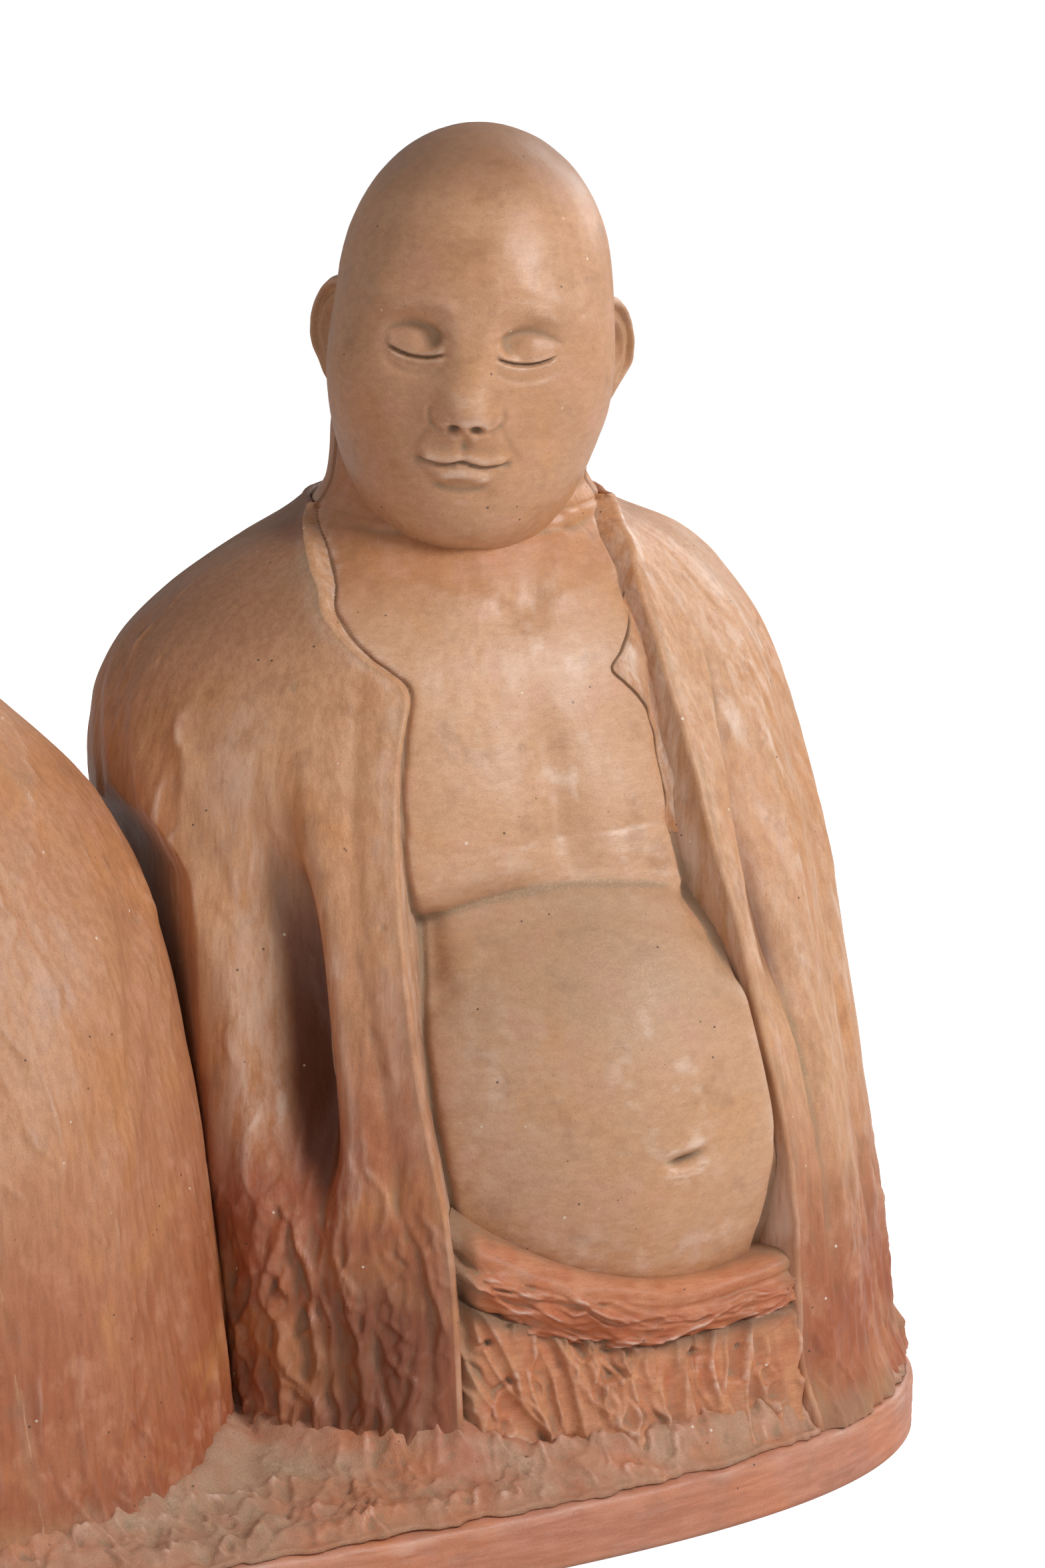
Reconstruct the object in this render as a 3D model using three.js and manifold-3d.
// A group of two seated monks in fired clay, side by side on one low plinth.
// Millimetres, +Z up. The origin is the middle of the plinth's underside, and the monks look towards -Y.
// Each monk is hollow-built: a thick-walled trunk in two sections, clay slabs for the robe laid over it,
// and a neck, a split hollow head and two ears set on top. The pieces lie a slip joint apart.

import * as THREE from 'three';
import Module from 'manifold-3d';

const kernel = await Module();
kernel.setup();

// Driving dimensions of the group: the figures fill the plinth and grow with it
const plinthLength = 700;
const plinthDepth = 390;
const plinthHeight = 28;
const figureHeight = 572;
const wide = plinthLength / 700;
const deep = plinthDepth / 390;
const tall = figureHeight / 572;

// The plinth and the rough clay on it
const plinthSquareness = 3;
const rimWall = 18;
const rimRound = 4;
const rimFoot = 2.5;
const deckThickness = 14;
const ribThickness = 12;
const endRibInset = 55;
const groundHeight = 7;
const groundEdge = 2;
const groundMargin = 5;
const groundSwell = tall * 46;
const groundSpread = wide * 80;
const groundEnd = deep * 60;
const groundLength = wide * 590;

// The figures' walls, hollows and hidden joints
const slipGap = 0.3;
const robeWall = 10;
const lapelWall = 5;
const trunkWall = 13;
const boreRadius = 20;
const chamberTaper = 2.4;
const seatDepth = 4;
const deckLedge = 6;
const figureSpacing = wide * 330;
const figureSetback = deep * 10;
const trunkSeam = tall * 222;
const neckFoot = tall * 382;
const neckSeat = tall * 40;
const chamberTop = tall * 350;

// The sash and the skirt under the open robe's belly
const pleatDepth = 2.5;
const skirtTaper = 0.24;
const sashDepth = tall * 35;
const sashDrop = tall * 22;
const sashReach = 28;
const sashLowest = 2;
const sashHeight = tall * 73;
const sashFace = deep * 150;
const sashRoot = deep * 120;
const skirtFoot = deep * 176;
const flapThickness = 3.5;
const flapRise = 1.5;
const flapTuck = 1.5;

// The heads and ears
const headSplit = 10;
const farReach = 400;
const earThickness = 9;
const headHeight = tall * 188;
const headHollow = tall * 66;
const earHeight = tall * 54;
const earWidth = tall * 32;
const earTurn = 28;
const earPlace = [63, 12, -12];

// Angles are in degrees round a figure's own axis: 0 is its front, and they grow towards +X.
const sleeveToBack = 115;

/** Stations of a form, given for the usual size, in the group's size. */
const robeStations = (rows) => rows.map(([height, side, front, back, leanX, leanY, squareness]) => [
  tall * height, wide * side, deep * front, deep * back, wide * leanX, deep * leanY, squareness]);

/** Heights of a path's points in the group's size. Its angles stay. */
const climb = (path) => path.map(([height, angle]) => [tall * height, angle]);

// Stations up a robe: height over the deck, half-widths to the side, front and back, the axis's lean
// in x and y, and the squareness of the outline, where 2 is an ellipse.
const openRobe = robeStations([
  [0, 179, 176, 156, 0, 0, 2.7],
  [42, 174, 171, 155, 0, 0, 2.65],
  [102, 168, 166, 153, 0, 0, 2.6],
  [172, 165, 156, 152, -2, 2, 2.4],
  [242, 164, 140, 145, -7, 6, 2.3],
  [302, 162, 119, 132, -12, 12, 2.2],
  [337, 152, 101, 117, -12, 14, 2.15],
  [362, 131, 84, 100, -8, 14, 2.1],
  [380, 107, 72, 87, -4, 14, 2.0],
  [394, 77, 63, 74, -5, 14, 2.0],
  [408, 59, 57, 64, -5, 13, 2.0],
]);
const closedRobe = robeStations([
  [0, 180, 176, 156, 0, 0, 2.7],
  [42, 177, 173, 155, 0, 0, 2.65],
  [102, 173, 169, 154, 0, 0, 2.6],
  [172, 172, 160, 154, 0, 2, 2.4],
  [222, 169, 146, 148, 1, 4, 2.3],
  [262, 161, 130, 140, 2, 7, 2.25],
  [282, 154, 121, 133, 3, 9, 2.2],
  [298, 144, 112, 125, 3, 10, 2.15],
  [312, 130, 102, 116, 3, 11, 2.1],
  [328, 110, 91, 105, 3, 12, 2.1],
  [342, 92, 79, 93, 3, 12, 2.05],
  [355, 76, 69, 81, 3, 12, 2.0],
  [367, 64, 61, 71, 3, 12, 2.0],
  [380, 57, 57, 64, 3, 12, 2.0],
]);

// Stations up the bare body: the same without a lean.
const bareBody = robeStations([
  [0, 150, 148, 150, 0, 0, 2.5],
  [40, 150, 146, 148, 0, 0, 2.5],
  [102, 150, 136, 140, 0, 0, 2.5],
  [172, 149, 118, 130, 0, 0, 2.5],
  [228, 148, 100, 125, 0, 0, 2.5],
  [262, 147, 103, 120, 0, 0, 2.5],
  [302, 144, 103, 112, 0, 0, 2.5],
  [337, 126, 90, 98, 0, 0, 2.35],
  [362, 96, 70, 80, 0, 0, 2.2],
  [380, 70, 58, 68, 0, 0, 2.1],
  [394, 59, 54, 60, 0, 0, 2.0],
  [408, 55, 53, 56, 0, 0, 2.0],
  [442, 55, 52, 54, 0, 0, 2.0],
]);

// The open robe's belly, an ellipsoid with a flatter underside, and its chest.
const belly = {
  x: wide * 6, y: deep * -24, height: tall * 157,
  side: wide * 118, front: deep * 146, up: tall * 95, down: tall * 120,
};
const chest = {
  creaseHeight: tall * 249, creaseDroop: 0.0108, relief: 7, height: tall * 26, fade: tall * 70,
  furrow: 0.75, furrowWidth: 7,
};

/** A ridge, or where its relief is negative a hollow, along a path, with a width in degrees to each
 * side of it and a fade at its ends. */
const fold = (path, left, right, relief, fade) => (
  { path: climb(path), left, right, relief, fade: tall * fade });

/** The same fold on both sides of a figure. */
const bothSides = (path, left, right, relief, fade) => [
  fold(path, left, right, relief, fade),
  fold(path.map(([height, angle]) => [height, -angle]), right, left, relief, fade)];

// A monk whose robe hangs open over the belly, and one whose robe is wrapped shut.
// Edges and seams are (height, angle) points.
const monks = [
  {
    name: 'right', side: 1, robe: openRobe, top: tall * 408, neckDrop: 0, open: true,
    edgeL: climb([[0, -28], [57, -30], [117, -32], [177, -35], [249, -38], [303, -36], [332, -35],
      [338, -39], [342, -45], [350, -54], [361, -63], [372, -73], [382, -85], [408, -104]]),
    edgeR: climb([[0, 28], [139, 28], [207, 28.5], [258, 29.5], [289, 32], [321, 34], [337, 37],
      [352, 41], [371, 46], [390, 60], [408, 80]]),
    lipL: 1,
    lipR: 7,
    sleeveL: climb([[0, -52], [93, -53], [134, -57], [175, -62], [232, -65], [286, -72],
      [350, -84], [408, -112]]),
    sleeveR: climb([[0, 42], [156, 42], [214, 44], [256, 49], [298, 55], [353, 66], [408, 98]]),
    folds: [
      fold([[110, -48], [146, -51], [194, -52], [250, -53], [292, -55]], 6, 4, -15, 30),
      fold([[30, -53], [134, -59], [204, -64], [250, -70], [310, -76]], 9, 5, 7, 40),
      fold([[20, -76], [150, -82], [300, -92]], 9, 9, 4, 40),
      fold([[190, 32], [234, 34], [261, 37], [300, 43]], 3, 5, -7, 25),
      fold([[30, 34], [156, 38], [214, 41], [256, 47], [298, 52], [353, 61]], 5, 6, 5, 40),
      fold([[30, 50], [150, 53], [250, 60], [330, 72]], 6, 6, -5, 40),
      fold([[10, 66], [200, 71], [330, 86]], 8, 8, 4, 40),
      fold([[0, 150], [250, 162], [350, 170]], 14, 14, -4, 50),
      fold([[0, -150], [250, -160], [350, -170]], 14, 14, -4, 50),
    ],
    head: { x: -2, y: 2, height: tall * 477, yaw: -26, roll: 4.5, nod: 0 },
  },
  {
    name: 'left', side: -1, robe: closedRobe, top: tall * 380, neckDrop: tall * 28, open: false,
    edgeL: climb([[0, 16], [150, 10], [250, 3], [286, 0], [300, -9], [318, -24],
      [334, -44], [350, -68], [380, -100]]),
    edgeR: climb([[0, 16], [150, 10], [250, 3], [286, 0], [300, 9], [318, 24],
      [334, 44], [350, 68], [380, 100]]),
    lipL: 4,
    lipR: 0,
    sleeveL: climb([[0, -44], [150, -46], [250, -56], [330, -78], [380, -110]]),
    sleeveR: climb([[0, 44], [150, 46], [250, 56], [330, 78], [380, 110]]),
    folds: [
      fold([[149, 16], [177, 21], [205, 29], [233, 37], [262, 45]], 9, 9, 6, 25),
      fold([[149, -18], [177, -23], [205, -31], [233, -39], [262, -47]], 9, 9, 6, 25),
      ...bothSides([[60, 40], [160, 46], [250, 60]], 8, 8, -5, 40),
      ...bothSides([[10, 62], [200, 70], [300, 84]], 9, 9, 4, 40),
      fold([[0, 150], [250, 162], [330, 170]], 14, 14, -4, 50),
      fold([[0, -150], [250, -160], [330, -170]], 14, 14, -4, 50),
    ],
    head: { x: 3, y: 2, height: tall * 449, yaw: 14, roll: -3, nod: 5 },
  },
];

// Facets: heights of the rows shared by all slabs, and how many columns each piece gets.
const rowHeights = [0, 40, 84, 128, 170, 204, 228, 252, 280, 306, 328, 346, 362, 382]
  .map((height) => tall * height);
const trunkColumns = [-180, -150, -120, -92, -70, -55, -45, -38, -33, -28, -19, -10, 0,
  10, 19, 28, 33, 38, 45, 55, 70, 92, 120, 150];
const hollowColumns = 16;
const slabColumns = { back: 8, sleeve: 6, front: 4, opening: 10 };
const plinthColumns = 48;

// A neighbour is cut away with a little less than the gap, so that parallel seams stay uncut.
const seatShare = 0.8;

const radians = (degrees) => degrees * Math.PI / 180;
const clamp = (value, low, high) => Math.min(high, Math.max(low, value));

/** 0 at or below the low end, 1 at or above the high end, with an easy start and finish. */
function ease(value, low, high) {
  const t = clamp((value - low) / (high - low), 0, 1);
  return t * t * (3 - 2 * t);
}

/** The lower of two values with the corner between them rounded over the given width. */
function softLower(a, b, width) {
  return 0.5 * (a + b - Math.sqrt((a - b) ** 2 + width ** 2));
}

/** The higher of two values with the corner between them rounded over the given width. */
function softHigher(a, b, width) {
  return 0.5 * (a + b + Math.sqrt((a - b) ** 2 + width ** 2));
}

/** Smooth curve through stations: cubic pieces whose slope at a station is that of its two neighbours. */
function follow(stations, place, column = 1) {
  const last = stations.length - 1;
  const at = clamp(place, stations[0][0], stations[last][0]);
  let k = 0;
  while (k < last - 1 && at > stations[k + 1][0]) k += 1;
  const slope = (i) => {
    const before = stations[Math.max(i - 1, 0)];
    const after = stations[Math.min(i + 1, last)];
    return (after[column] - before[column]) / (after[0] - before[0]);
  };
  const step = stations[k + 1][0] - stations[k][0];
  const t = (at - stations[k][0]) / step;
  return (2 * t ** 3 - 3 * t ** 2 + 1) * stations[k][column] + (t ** 3 - 2 * t ** 2 + t) * step * slope(k)
    + (3 * t ** 2 - 2 * t ** 3) * stations[k + 1][column] + (t ** 3 - t ** 2) * step * slope(k + 1);
}

/** Distance from the axis to a rounded outline in one direction, from its half-widths and squareness. */
function outline(angle, side, front, back, squareness) {
  const across = Math.abs(Math.sin(radians(angle)));
  const along = Math.cos(radians(angle));
  const depth = along > 0 ? front : back;
  return ((across / side) ** squareness + (Math.abs(along) / depth) ** squareness) ** (-1 / squareness);
}

/** Where a figure's axis stands at a height. */
function axisAt(monk, height) {
  return { x: follow(monk.robe, height, 4), y: follow(monk.robe, height, 5) };
}

/** Point of a figure at an angle, a distance from its axis and a height. */
function place(monk, angle, distance, height) {
  const axis = axisAt(monk, height);
  const turn = radians(angle);
  return new THREE.Vector3(axis.x + distance * Math.sin(turn), axis.y - distance * Math.cos(turn), height);
}

/** The seam where the two robes are pressed together leans towards the lower shoulder above the arms. */
function pressedSeam(height) {
  return wide * -14 * ease(height, tall * 252, tall * 292);
}

/** Keeps a figure on its own side of the pressed seam. */
function keepSide(monk, angle, distance, height) {
  const reach = -monk.side * Math.sin(radians(angle));
  if (reach <= 0) return distance;
  const room = figureSpacing / 2 - slipGap / 2 + monk.side * (axisAt(monk, height).x - pressedSeam(height));
  return Math.min(distance, room / reach);
}

/** The robe's plain outer form without its folds. */
function robeForm(monk, angle, height) {
  const at = (column) => follow(monk.robe, height, column);
  return keepSide(monk, angle, outline(angle, at(1), at(2), at(3), at(6)), height);
}

/** Height of all folds together at a place on the robe: bell curves across each fold's path. */
function foldRelief(monk, angle, height) {
  let relief = 0;
  for (const { path, left, right, relief: depth, fade } of monk.folds) {
    const low = path[0][0];
    const high = path[path.length - 1][0];
    const away = angle - follow(path, height);
    const width = away < 0 ? left : right;
    const ends = ease(height, low - fade, low + fade) * (1 - ease(height, high - fade, high + fade));
    relief += depth * ends * Math.exp(-((away / width) ** 2));
  }
  return relief;
}

/** The robe's outer surface on one of its front edges, with that edge's raised lip. */
function robeSurface(monk, angle, height, lip, edge) {
  const raised = lip * ease(height, 0, tall * 60) * Math.exp(-(((angle - follow(edge, height)) / 5) ** 2));
  const folded = robeForm(monk, angle, height) + foldRelief(monk, angle, height);
  return keepSide(monk, angle, folded + raised, height);
}

/** Distance to the far wall of the belly in one direction, or 0 where that direction misses it. */
function bellyReach(monk, angle, height) {
  const rise = height - belly.height;
  const share = 1 - (rise / (rise > 0 ? belly.up : belly.down)) ** 2;
  if (share <= 0) return 0;
  const axis = axisAt(monk, height);
  const side = belly.side * Math.sqrt(share);
  const front = belly.front * Math.sqrt(share);
  const dx = Math.sin(radians(angle)) / side;
  const dy = -Math.cos(radians(angle)) / front;
  const ox = (axis.x - belly.x) / side;
  const oy = (axis.y - belly.y) / front;
  const square = dx * dx + dy * dy;
  const half = ox * dx + oy * dy;
  const root = half * half - square * (ox * ox + oy * oy - 1);
  return root > 0 ? (Math.sqrt(root) - half) / square : 0;
}

/** Two low breasts that end in a crease over the belly, with a furrow between them. */
function chestRelief(angle, height) {
  const crease = chest.creaseHeight - chest.creaseDroop * angle * angle;
  const over = crease + chest.height;
  const lobe = ease(height, crease - 2, crease + 10) * (1 - ease(height, over, over + chest.fade));
  return chest.relief * lobe * (1 - chest.furrow * Math.exp(-((angle / chest.furrowWidth) ** 2)));
}

/** The bare body's surface before the robe limits it. */
function bareForm(monk, angle, height) {
  const lifted = height + monk.neckDrop * ease(height, tall * 200, tall * 330);
  const at = (column) => follow(bareBody, lifted, column);
  const trunk = outline(angle, at(1), at(2), at(3), at(6));
  if (!monk.open) return trunk;
  return softHigher(trunk, bellyReach(monk, angle, height), 6) + chestRelief(angle, height);
}

/** Thickness of robe over the trunk: full under the cloth, thin at an edge, and none in the opening. */
function coverAt(monk, angle, height) {
  const left = follow(monk.edgeL, height);
  const right = follow(monk.edgeR, height);
  const into = Math.max(left - angle, angle - right);
  if (left === right) return robeWall;
  if (into >= 0) return lapelWall + (robeWall - lapelWall) * ease(into, 0, 5);
  return lapelWall + into * 3.5;
}

/** The trunk's outer surface: the bare body where it shows, and the underside of the robe elsewhere. */
function trunkSurface(monk, angle, height) {
  const bare = bareForm(monk, angle, height);
  const cover = coverAt(monk, angle, height);
  if (height > monk.top) return bare;
  const shoulder = tall * 280 - monk.neckDrop;
  const shoulderDrop = 0.7 * Math.max(cover, 0) * ease(height, shoulder, shoulder + tall * 50);
  const form = robeForm(monk, angle, Math.min(height + shoulderDrop, monk.top));
  const under = form + Math.min(foldRelief(monk, angle, height), 0);
  const clothed = ease(cover, lapelWall, robeWall);
  return softLower(bare, under - cover, 2) * (1 - clothed) + (under - cover) * clothed;
}

/** The hollow inside the trunk and neck: one wall inside the trunk, closing to a bore at the shoulders. */
function hollowSurface(monk, angle, height) {
  const below = Math.max(0, chamberTop - monk.neckDrop - height);
  return Math.min(trunkSurface(monk, angle, height) - trunkWall, boreRadius + below * chamberTaper);
}

/** A solid from points in vertex triples and triangles, as the boolean kernel holds it. */
function solidFrom(points, triangles) {
  const vertProperties = new Float32Array(points.flatMap((point) => [point.x, point.y, point.z]));
  const triVerts = new Uint32Array(triangles.flat());
  return new kernel.Manifold(new kernel.Mesh({ numProp: 3, vertProperties, triVerts }));
}

/** The two triangles of a quad whose corners run anticlockwise seen from outside. */
const quad = (a, b, c, d) => [[a, b, c], [a, c, d]];

/** Closed solid from rings of points, lowest first, each running anticlockwise seen from above,
 * with a fan of triangles to a lowest and a highest point. */
function closeRings(rings, lowest, highest) {
  const count = rings[0].length;
  const points = [...rings.flat(), lowest, highest];
  const triangles = [];
  const topRow = (rings.length - 1) * count;
  for (let j = 0; j < count; j += 1) {
    const next = (j + 1) % count;
    for (let row = 0; row < topRow; row += count) {
      triangles.push(...quad(row + j, row + next, row + count + next, row + count + j));
    }
    triangles.push([points.length - 2, next, j], [points.length - 1, topRow + j, topRow + next]);
  }
  return solidFrom(points, triangles);
}

/** Closed solid from level rings of points, lowest first, with flat ends. */
function stackRings(rings) {
  const middle = (ring) => ring.reduce((sum, point) => sum.add(point), new THREE.Vector3())
    .divideScalar(ring.length);
  return closeRings(rings, middle(rings[0]), middle(rings[rings.length - 1]));
}

/** Closed slab between an outer and an inner surface over one grid of columns and rows. */
function slab(columns, rows, outer, inner) {
  const across = columns + 1;
  const points = [];
  for (const surface of [outer, inner]) {
    for (let row = 0; row <= rows; row += 1) {
      for (let column = 0; column <= columns; column += 1) points.push(surface(column / columns, row));
    }
  }
  const skip = across * (rows + 1);
  const id = (row, column) => row * across + column;
  const triangles = [];
  for (let row = 0; row < rows; row += 1) {
    for (let column = 0; column < columns; column += 1) {
      const [a, b] = [id(row, column), id(row, column + 1)];
      const [c, d] = [id(row + 1, column + 1), id(row + 1, column)];
      triangles.push(...quad(a, b, c, d), ...quad(d + skip, c + skip, b + skip, a + skip));
    }
    const [low, high] = [id(row, 0), id(row + 1, 0)];
    triangles.push(...quad(low + skip, low, high, high + skip));
    const [lowEnd, highEnd] = [id(row, columns), id(row + 1, columns)];
    triangles.push(...quad(lowEnd + skip, highEnd + skip, highEnd, lowEnd));
  }
  for (let column = 0; column < columns; column += 1) {
    const [a, b] = [id(0, column), id(0, column + 1)];
    triangles.push(...quad(a + skip, b + skip, b, a));
    const [c, d] = [id(rows, column), id(rows, column + 1)];
    triangles.push(...quad(c + skip, c, d, d + skip));
  }
  return solidFrom(points, triangles);
}

/** A box from its lowest and highest corners. */
function block(low, high) {
  const geometry = new THREE.BoxGeometry(high[0] - low[0], high[1] - low[1], high[2] - low[2]);
  geometry.translate((low[0] + high[0]) / 2, (low[1] + high[1]) / 2, (low[2] + high[2]) / 2);
  const position = geometry.attributes.position;
  const corners = [];
  const names = new Map();
  const triangles = [];
  for (let i = 0; i < geometry.index.count; i += 1) {
    const point = new THREE.Vector3().fromBufferAttribute(position, geometry.index.getX(i));
    const key = point.toArray().join();
    if (!names.has(key)) names.set(key, corners.push(point) - 1);
    triangles.push(names.get(key));
  }
  return solidFrom(corners, triangles);
}

/** The largest connected body of a solid, which drops the slivers a cut can leave. */
function largest(solid) {
  return solid.decompose().reduce((best, body) => (body.volume() > best.volume() ? body : best));
}

/** Rows of heights between two ends, taken from the shared rows. */
function rowsBetween(low, high) {
  return [low, ...rowHeights.filter((height) => height > low + 4 && height < high - 4), high];
}

/** Solid of revolution-like form round a figure's axis, from a distance for each angle and height. */
function turned(monk, columns, rows, distance) {
  const ring = (height) => columns.map((angle) => place(monk, angle, distance(angle, height), height));
  return stackRings(rows.map(ring));
}

/** The trunk and neck as one solid, grown by a clearance. */
function trunkSolid(monk, grow, low, high) {
  const distance = (angle, height) => trunkSurface(monk, angle, height) + grow;
  return turned(monk, trunkColumns, rowsBetween(low, high), distance);
}

/** Half a slip gap as an angle at a distance from the axis. */
const gapAngle = (distance) => (slipGap / 2 / distance) * (180 / Math.PI);

/** The five slabs of a robe: their seams, columns, and the front edge whose lip they carry. */
function robePanels(monk) {
  const along = (path) => (height) => follow(path, height);
  const { edgeL, edgeR, lipL, lipR } = monk;
  const panel = (columns, from, to, lip = 0, edge = edgeR) => ({ columns, from, to, lip, edge });
  const { front, sleeve, back } = slabColumns;
  return {
    robe_front_l: panel(front + 1, along(monk.sleeveL), along(edgeL), lipL, edgeL),
    robe_front_r: panel(front, along(edgeR), along(monk.sleeveR), lipR),
    sleeve_l: panel(sleeve, () => -sleeveToBack, along(monk.sleeveL)),
    sleeve_r: panel(sleeve, along(monk.sleeveR), () => sleeveToBack),
    robe_back: panel(back, () => sleeveToBack, () => 360 - sleeveToBack),
  };
}

/** Angle at a share of the way across a slab of robe, whose seams draw in by half a gap less the growth. */
function panelAngle(monk, panel, share, height, grow) {
  const half = gapAngle(robeForm(monk, panel.from(height), height)) * (1 - 2 * grow / slipGap);
  const low = panel.from(height) + half;
  const high = panel.to(height) - half;
  return low + (high - low) * share;
}

/** Point of a slab's outer surface. */
function panelPoint(monk, panel, share, height, grow) {
  const angle = panelAngle(monk, panel, share, height, grow);
  return place(monk, angle, robeSurface(monk, angle, height, panel.lip, panel.edge) + grow, height);
}

/** One slab of robe between its two seams, grown by a clearance. Its back still reaches into the trunk. */
function robeSlab(monk, panel, grow) {
  const rows = rowsBetween(slipGap, monk.top);
  const inner = (share, row) => {
    const angle = panelAngle(monk, panel, share, rows[row], grow);
    return place(monk, angle, trunkSurface(monk, angle, rows[row]) - seatDepth, rows[row]);
  };
  const outer = (share, row) => panelPoint(monk, panel, share, rows[row], grow);
  return slab(panel.columns, rows.length - 1, outer, inner);
}

/** Angle at a share of the way across the opening, from lapel to lapel, at the sash. */
function openingAngle(monk, share, clearance) {
  const low = follow(monk.edgeL, sashHeight) + 2 * gapAngle(belly.front) * clearance / slipGap;
  const high = follow(monk.edgeR, sashHeight) - 2 * gapAngle(belly.front) * clearance / slipGap;
  return low + (high - low) * share;
}

/** Height of the sash's middle line, which sags in front of the belly. */
const sashMiddle = (angle) => sashHeight + sashDrop * ((angle - sashLowest) / sashReach) ** 2;

/** The sash: a rolled band across the opening, from lapel to lapel. */
function sashSolid(monk) {
  const profile = [[-0.5, 0], [-0.42, 10], [-0.1, 17], [0.3, 14], [0.46, 7], [0.5, 0]];
  const surface = (distance) => (share, row) => {
    const angle = openingAngle(monk, share, slipGap);
    const height = sashMiddle(angle) + profile[row][0] * sashDepth + slipGap / 2;
    return place(monk, angle, distance(row, angle), height);
  };
  const outer = surface((row, angle) => sashFace + profile[row][1] + 0.008 * angle * angle);
  const inner = surface(() => sashRoot);
  return slab(slabColumns.opening, profile.length - 1, outer, inner);
}

/** Point of the skirt's gathered outer face, which runs out to the deck in straight pleats. */
function skirtPoint(monk, share, height, grow) {
  const gather = Math.round(share * slabColumns.opening) % 2 === 0 ? pleatDepth : -pleatDepth;
  const angle = openingAngle(monk, share, slipGap - grow);
  const distance = skirtFoot - skirtTaper * height + gather * (1 - height / sashHeight) + grow;
  return place(monk, angle, distance, height);
}

/** The gathered skirt between the lapels, from the deck up to the sash. */
function skirtSolid(monk) {
  const heightAt = (angle, row) => [slipGap, rowHeights[1], sashMiddle(angle) - (sashDepth + slipGap) / 2][row];
  const outer = (share, row) => skirtPoint(monk, share, heightAt(openingAngle(monk, share, slipGap), row), 0);
  const inner = (share, row) => {
    const angle = openingAngle(monk, share, slipGap);
    return place(monk, angle, sashRoot, heightAt(angle, row));
  };
  return slab(slabColumns.opening, 2, outer, inner);
}

/** The thin under-collar that lies on the chest inside the proud lapel, with its free point. */
function flapSolid(monk) {
  const edge = climb([[238, 31], [278, 25], [295, 21], [317, 18.5], [331, 17], [339, 15],
    [351, 33], [362, 50]]);
  const rows = [240, 262, 282, 300, 317, 330, 338, 345, 352, 358].map((height) => tall * height);
  const angleAt = (share, height) => {
    const low = follow(edge, height);
    return low + (follow(monk.edgeR, height) + flapTuck - low) * share;
  };
  const lift = (share, row) => {
    const angle = angleAt(share, rows[row]);
    const thickness = flapThickness + flapRise * share;
    return place(monk, angle, trunkSurface(monk, angle, rows[row]) + thickness, rows[row]);
  };
  const under = (share, row) => {
    const angle = angleAt(share, rows[row]);
    return place(monk, angle, trunkSurface(monk, angle, rows[row]) - seatDepth, rows[row]);
  };
  return slab(3, rows.length - 1, lift, under);
}

// The head, in its own frame: the face looks towards -Y and the eyes lie on the middle of its height.
// Its forms are soft ellipsoids, joined or carved, for a head of the usual height.
const headForms = [
  { at: [0, 10, 28], radii: [58, 74, 67], soft: 0 },
  { at: [0, -12, -30], radii: [56, 56, 62], soft: 22 },
  { at: [0, -32, -72], radii: [40, 36, 24], soft: 16 },
  { at: [30, -38, -28], radii: [28, 26, 28], soft: 14, pair: true },
  { at: [22, -58, 15], radii: [20, 10, 8], soft: 10, pair: true },
  { at: [25, -67, 1], radii: [15, 9, 9], soft: 8, pair: true, carve: true },
  { at: [24, -55, 1], radii: [13, 13, 10], soft: 3, pair: true },
  { at: [0, -66, -12], radii: [8, 14, 26], soft: 8 },
  { at: [0, -78, -30], radii: [10, 12, 9], soft: 5 },
  { at: [11, -70, -33], radii: [7, 10, 7], soft: 4, pair: true },
  { at: [0, -63, -57], radii: [24, 12, 11], soft: 8 },
  { at: [0, -60, -84], radii: [18, 14, 11], soft: 10 },
];
const headSize = headHeight / 188;
const headRowAngles = [-90, -72, -58, -49, -42, -35, -29, -23, -16, -9, -3, 3, 10, 20, 36, 54, 72, 90];
const headColumnAngles = [-180, -150, -120, -95, -75, -58, -46, -36, -28, -21, -14, -7, 0,
  7, 14, 21, 28, 36, 46, 58, 75, 95, 120, 150];

/** Signed distance to an ellipsoid, exact enough near its surface. */
function toEllipsoid(point, centre, radii) {
  const offset = [point.x - centre[0], point.y - centre[1], point.z - centre[2]];
  const scaled = Math.hypot(offset[0] / radii[0], offset[1] / radii[1], offset[2] / radii[2]);
  const slope = Math.hypot(offset[0] / radii[0] ** 2, offset[1] / radii[1] ** 2, offset[2] / radii[2] ** 2);
  return scaled * (scaled - 1) / Math.max(slope, 1e-6);
}

/** Signed distance to the head: its forms joined, or carved away, with soft transitions. */
function toHead(point) {
  let distance = Infinity;
  for (const form of headForms) {
    for (const sign of form.pair ? [1, -1] : [1]) {
      const form1 = toEllipsoid(point, [form.at[0] * sign, form.at[1], form.at[2]], form.radii);
      if (distance === Infinity) distance = form1;
      else if (form.carve) distance = softHigher(distance, -form1, form.soft);
      else distance = softLower(distance, form1, form.soft);
    }
  }
  return distance;
}

/** Distance from the head's centre to its outermost surface along a direction. */
function headReach(direction) {
  let outside = 130;
  while (toHead(direction.clone().multiplyScalar(outside)) > 0) outside -= 1.5;
  let inside = outside;
  outside += 1.5;
  for (let i = 0; i < 12; i += 1) {
    const middle = (inside + outside) / 2;
    if (toHead(direction.clone().multiplyScalar(middle)) > 0) outside = middle;
    else inside = middle;
  }
  return inside;
}

/** Unit vector at a turn from the front and a rise over the level, in the head's own frame. */
function towards(turn, rise) {
  const level = Math.cos(radians(rise));
  return new THREE.Vector3(
    level * Math.sin(radians(turn)), -level * Math.cos(radians(turn)), Math.sin(radians(rise)));
}

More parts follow.
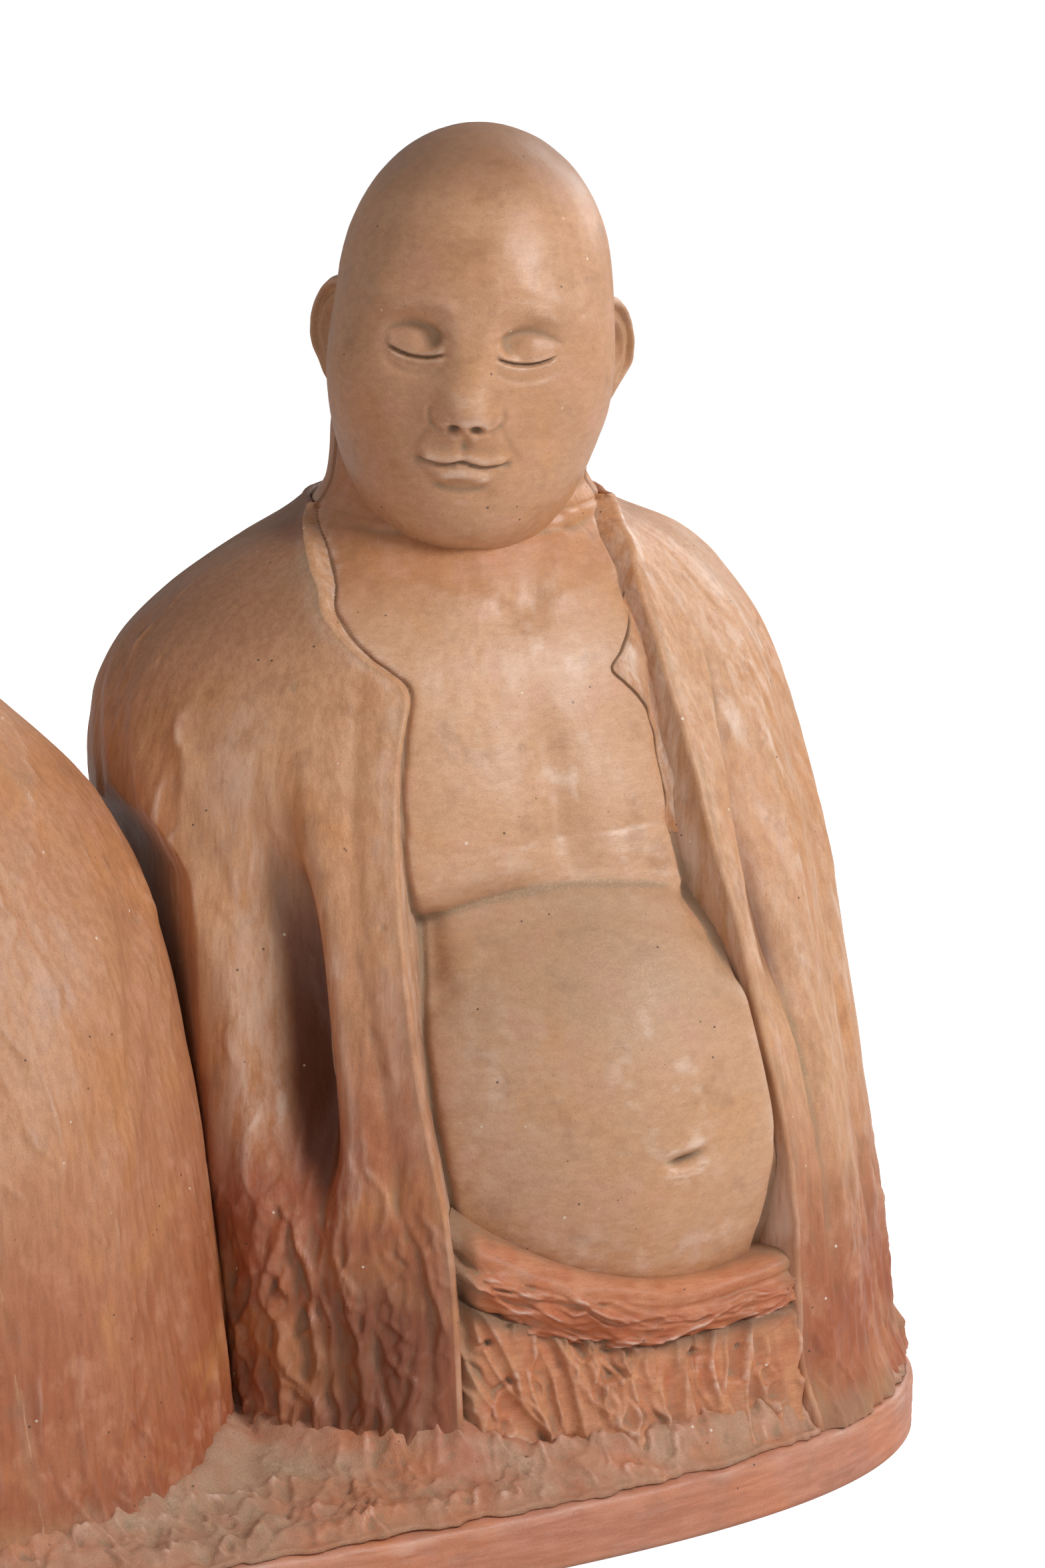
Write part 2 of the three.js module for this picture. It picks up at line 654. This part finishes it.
/** Rings round the head's centre, from its underside to its crown, at a distance for each direction. */
function headRings(reach) {
  return headRowAngles.slice(1, -1).map((rise) => headColumnAngles.map((turn) => {
    const direction = towards(turn, rise);
    return direction.multiplyScalar(reach(direction));
  }));
}

/** How a head stands on its figure: nodded, rolled and turned, and lifted to its height. */
function headPlace(monk) {
  const { x, y, height, yaw, roll, nod } = monk.head;
  const euler = new THREE.Euler(radians(nod), radians(roll), radians(yaw), 'ZYX');
  const size = new THREE.Vector3(headSize, headSize, headSize);
  return new THREE.Matrix4().compose(
    new THREE.Vector3(x, y, height), new THREE.Quaternion().setFromEuler(euler), size);
}

/** The head as one solid in its figure's frame, grown by a clearance. */
function headSolid(monk, grow) {
  const stand = headPlace(monk);
  const rings = headRings((direction) => headReach(direction) + grow);
  const lowest = new THREE.Vector3(0, 0, -headReach(new THREE.Vector3(0, 0, -1)) - grow);
  const highest = new THREE.Vector3(0, 0, headReach(new THREE.Vector3(0, 0, 1)) + grow);
  for (const point of [...rings.flat(), lowest, highest]) point.applyMatrix4(stand);
  return closeRings(rings, lowest, highest);
}

/** Half space of the head's frame, as a large box, before or behind the split through the ears. */
function headHalf(monk, front) {
  const near = headSplit + (front ? -slipGap / 2 : slipGap / 2);
  const [low, high] = front ? [-farReach, near] : [near, farReach];
  const half = block([-farReach, low, -farReach], [farReach, high, farReach]);
  return half.transform(headPlace(monk).toArray());
}

/** The small hollow that thins the head for firing, with its way down into the neck. */
function headHollowSolid(monk) {
  const stand = headPlace(monk);
  const rings = [];
  for (let row = 1; row < 6; row += 1) {
    const rise = -90 + row * 30;
    rings.push(Array.from({ length: 12 }, (_, j) => {
      const level = headHollow / 2 * Math.cos(radians(rise));
      return new THREE.Vector3(level * Math.sin(j * Math.PI / 6), -level * Math.cos(j * Math.PI / 6),
        headHollow / 2 * Math.sin(radians(rise)) + 6).applyMatrix4(stand);
    }));
  }
  return stackRings(rings);
}

/** One ear: a dished plate with a raised rim and a long lobe. side is 1 for +X. */
function earSolid(monk, side, head) {
  const stand = headPlace(monk);
  const size = headSize;
  const rings = [[0.55, -1.0], [0.95, -0.35], [1.0, 0.35], [0.8, 0.6], [0.5, 0.05]];
  const count = 10;
  const outwards = radians(earTurn * side);
  const upright = new THREE.Vector3(0, 0, 1);
  const root = new THREE.Vector3(side * earPlace[0], earPlace[1], earPlace[2]);
  const shape = rings.map(([share, depth]) => Array.from({ length: count }, (_, j) => {
    const turn = -side * j * 2 * Math.PI / count;
    const narrow = 1 - 0.3 * ease(-Math.sin(turn), 0, 1);
    const across = share * earWidth / 2 * Math.cos(turn) * narrow;
    const up = share * earHeight / 2 * Math.sin(turn);
    const out = depth * earThickness;
    const point = new THREE.Vector3(side * out, -across, up).applyAxisAngle(upright, -outwards);
    return point.divideScalar(size).add(root).applyMatrix4(stand);
  }));
  return largest(stackRings(shape).subtract(head));
}

/** Outline of the plinth drawn in by an inset, one point for each angle. */
function plinthRing(inset, height, columns = plinthColumns) {
  return Array.from({ length: columns }, (_, j) => {
    const turn = (j + 0.5) * 2 * Math.PI / columns;
    const round = (value) => Math.sign(value) * Math.abs(value) ** (2 / plinthSquareness);
    const [along, across] = [plinthLength / 2 - inset, plinthDepth / 2 - inset];
    return new THREE.Vector3(along * round(Math.cos(turn)), across * round(Math.sin(turn)), height);
  });
}

/** The plinth's rim: an upright band of clay with a worn upper edge. */
function rimSolid() {
  const worn = rimRound * 0.3;
  const outside = [[rimFoot * 0.6, 0], [0, rimFoot], [0, plinthHeight - rimRound],
    [worn, plinthHeight - worn], [rimRound, plinthHeight]];
  const body = stackRings(outside.map(([inset, height]) => plinthRing(inset, height)));
  const inside = stackRings([plinthRing(rimWall, -1), plinthRing(rimWall, plinthHeight + 1)]);
  return body.subtract(inside);
}

/** The deck inside the rim, with an opening under each hollow figure. */
function deckSolid() {
  const inset = rimWall + slipGap;
  let deck = stackRings([plinthRing(inset, plinthHeight - deckThickness), plinthRing(inset, plinthHeight)]);
  for (const monk of monks) {
    const ring = (height) => Array.from({ length: hollowColumns }, (_, j) => {
      const angle = j * 360 / hollowColumns - 180;
      const spot = place(monk, angle, hollowSurface(monk, angle, slipGap) - deckLedge, 0);
      return new THREE.Vector3(spot.x + monk.side * figureSpacing / 2, spot.y + figureSetback, height);
    });
    deck = deck.subtract(stackRings([ring(0), ring(plinthHeight + 1)]));
  }
  return deck;
}

/** A cross wall under the deck at a place along the plinth, ended against the rim. */
function ribSolid(x) {
  const [half, top] = [ribThickness / 2, plinthHeight - deckThickness - slipGap];
  const wall = block([x - half, -plinthDepth, 0], [x + half, plinthDepth, top]);
  const room = stackRings([plinthRing(rimWall + slipGap, -1), plinthRing(rimWall + slipGap, plinthHeight)]);
  return wall.intersect(room);
}

/** The rough clay pressed round the robes' feet: it climbs into the valley between the figures. */
function groundSolid(front, bodies) {
  const shares = [1, 0.97, 0.88, 0.78, 0.66, 0.5, 0.25, 0.02];
  const rings = shares.map((share) => plinthRing(groundMargin, 0).map((point) => {
    const rise = 1 - ease(share, 0.45, 0.97);
    const swell = groundSwell * rise * Math.exp(-((point.x * share / groundSpread) ** 2));
    const height = share === 1 ? groundEdge : groundHeight + swell;
    return new THREE.Vector3(point.x * share, point.y * share, plinthHeight + slipGap + height);
  }));
  const body = stackRings([plinthRing(groundMargin, plinthHeight + slipGap), ...rings]);
  const side = groundLength / 2;
  const far = plinthLength;
  const [near, away] = front ? [-far, -groundEnd] : [groundEnd, far];
  const half = block([-side, near, 0], [side, away, far]);
  return largest(bodies.reduce((rest, solid) => rest.subtract(solid), body.intersect(half)));
}

/** The foot of one clothed figure as one solid, a gap larger all round, in the group's frame. */
function figureFoot(monk) {
  const { sleeve_l, robe_front_l, robe_front_r, sleeve_r, robe_back } = robePanels(monk);
  const shares = (count) => Array.from({ length: count + 1 }, (_, i) => i / count);
  const slabPoints = (panel, height) => shares(panel.columns)
    .map((share) => panelPoint(monk, panel, share, height, slipGap));
  const skirtPoints = (height) => shares(slabColumns.opening)
    .map((share) => skirtPoint(monk, share, height, slipGap));
  const foot = slipGap / 2;
  const rings = [foot, rowHeights[1], rowHeights[2]].map((height) => [
    ...[sleeve_l, robe_front_l].flatMap((panel) => slabPoints(panel, height)),
    ...(monk.open ? skirtPoints(height).slice(1, -1) : []),
    ...[robe_front_r, sleeve_r, robe_back].flatMap((panel) => slabPoints(panel, height)),
  ]);
  return stackRings(rings).translate([monk.side * figureSpacing / 2, figureSetback, plinthHeight]);
}

/** A named mesh of a solid in its own clay. */
function clayMesh(name, solid, colour, roughness) {
  const mesh = solid.getMesh();
  const geometry = new THREE.BufferGeometry();
  const points = new Float32Array(mesh.numVert * 3);
  for (let i = 0; i < mesh.numVert; i += 1) {
    const start = i * mesh.numProp;
    points.set(mesh.vertProperties.slice(start, start + 3), i * 3);
  }
  geometry.setAttribute('position', new THREE.BufferAttribute(points, 3));
  geometry.setIndex(new THREE.BufferAttribute(new Uint32Array(mesh.triVerts), 1));
  const material = new THREE.MeshStandardMaterial({ color: colour, roughness, metalness: 0 });
  const clay = new THREE.Mesh(geometry, material);
  clay.name = name;
  return clay;
}

const skinClay = 0xb98a68;
const robeClay = 0xb07c5a;
const skirtClay = 0xa86a50;
const plinthClay = 0xa5644c;

/** All pieces of one figure, in a group that stands on the deck. */
function figureGroup(monk) {
  const group = new THREE.Group();
  group.position.set(monk.side * figureSpacing / 2, figureSetback, plinthHeight);
  const add = (part, solid, colour) => group.add(clayMesh(`${monk.name}_${part}`, solid, colour, 0.75));
  const neckTop = monk.head.height - neckSeat;
  const shoulderLine = neckFoot - monk.neckDrop;
  const seam = trunkSeam;
  const rows = rowsBetween(-1, neckTop + 1);
  const hollowAngles = Array.from({ length: hollowColumns }, (_, j) => j * 360 / hollowColumns - 180);
  const hollowRows = rows.filter((height, i) => i % 2 === 0 || height === rows[rows.length - 1]);
  const hollowDistance = (angle, height) => hollowSurface(monk, angle, height);
  const hollow = turned(monk, hollowAngles, hollowRows, hollowDistance);
  const whole = trunkSolid(monk, 0, slipGap, neckTop).subtract(hollow);
  const between = (low, high) => block([-farReach, -farReach, low], [farReach, farReach, high]);
  add('trunk_lower', whole.intersect(between(-1, seam - slipGap / 2)), skinClay);
  add('trunk_upper', whole.intersect(between(seam + slipGap / 2, shoulderLine - slipGap / 2)), skinClay);
  add('neck', whole.intersect(between(shoulderLine + slipGap / 2, neckTop)), skinClay);

  const trunk = trunkSolid(monk, slipGap, 0, neckTop + slipGap);
  const head = headSolid(monk, 0).subtract(headHollowSolid(monk)).subtract(trunk);
  add('head_front', largest(head.intersect(headHalf(monk, true))), skinClay);
  add('head_back', largest(head.intersect(headHalf(monk, false))), skinClay);
  const grownHead = headSolid(monk, slipGap);
  add('ear_r', earSolid(monk, 1, grownHead), skinClay);
  add('ear_l', earSolid(monk, -1, grownHead), skinClay);

  const taken = [trunk, grownHead];
  const clear = (solid) => largest(taken.reduce((rest, other) => rest.subtract(other), solid));
  for (const [part, panel] of Object.entries(robePanels(monk))) {
    add(part, clear(robeSlab(monk, panel, 0)), robeClay);
    taken.push(robeSlab(monk, panel, slipGap * seatShare));
  }
  if (monk.open) {
    add('collar_flap', clear(flapSolid(monk)), robeClay);
    add('sash', clear(sashSolid(monk)), skirtClay);
    add('skirt', clear(skirtSolid(monk)), skirtClay);
  }
  return group;
}

const group = new THREE.Group();
group.add(clayMesh('plinth_rim', rimSolid(), plinthClay, 0.6));
group.add(clayMesh('plinth_deck', deckSolid(), plinthClay, 0.8));
[-1, 0, 1].forEach((side, i) => {
  const rib = ribSolid(side * (plinthLength / 2 - endRibInset));
  group.add(clayMesh(`plinth_rib_${i + 1}`, rib, plinthClay, 0.8));
});
const feet = monks.map(figureFoot);
group.add(clayMesh('ground_front', groundSolid(true, feet), plinthClay, 0.85));
group.add(clayMesh('ground_back', groundSolid(false, feet), plinthClay, 0.85));
for (const monk of monks) group.add(figureGroup(monk));

export default group;
